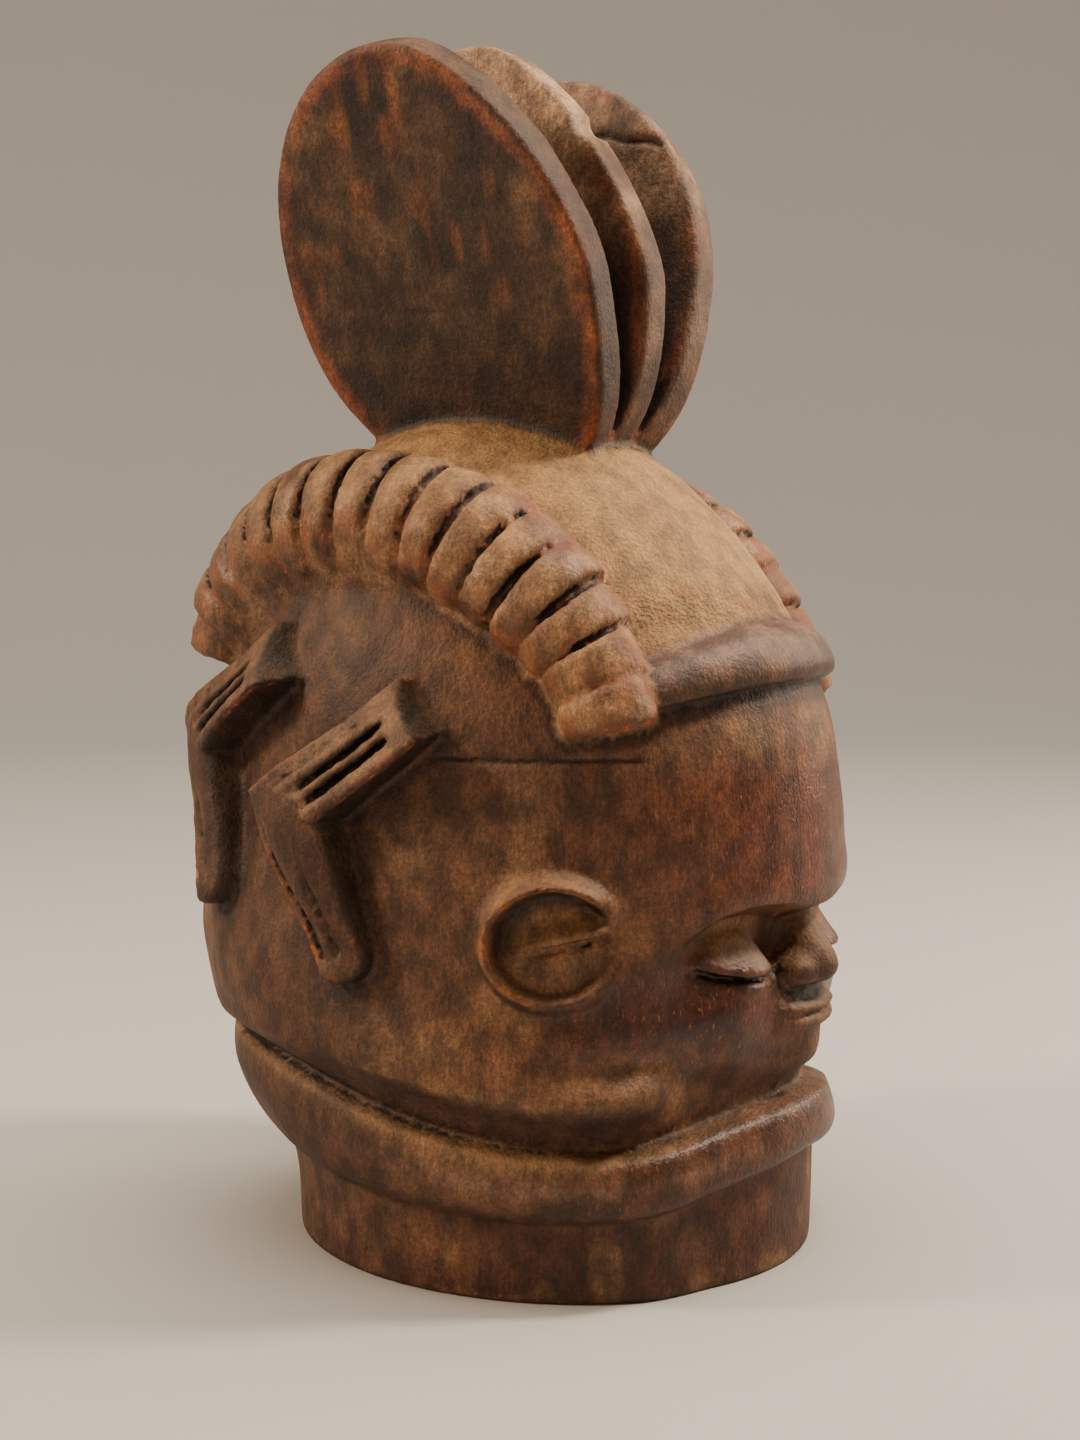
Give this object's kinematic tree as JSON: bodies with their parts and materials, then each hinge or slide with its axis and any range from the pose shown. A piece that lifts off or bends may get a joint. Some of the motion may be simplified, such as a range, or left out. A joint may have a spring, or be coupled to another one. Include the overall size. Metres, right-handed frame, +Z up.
{
  "type": "mende helmet mask",
  "caption": "Carved wooden helmet mask: a hollow head open below on a plain rim, with neck rolls, a calm face, notched side braids and a fanned crest of upright plates.",
  "frame": {"origin": "middle of the mask's plan, on the surface that its rim stands on", "axes": "+Z up through the crest, the face looks along -Y, +X is the wearer's left"},
  "size_m": [0.2518, 0.2634, 0.4677],
  "materials": {
    "carved_wood": "old hand-carved hardwood, dark brown with reddish rubbed edges, dusty ochre crust and black residue in the cuts"
  },
  "bodies": {
    "root": {"helmet_mask": "carved_wood"}
  },
  "joints": []
}
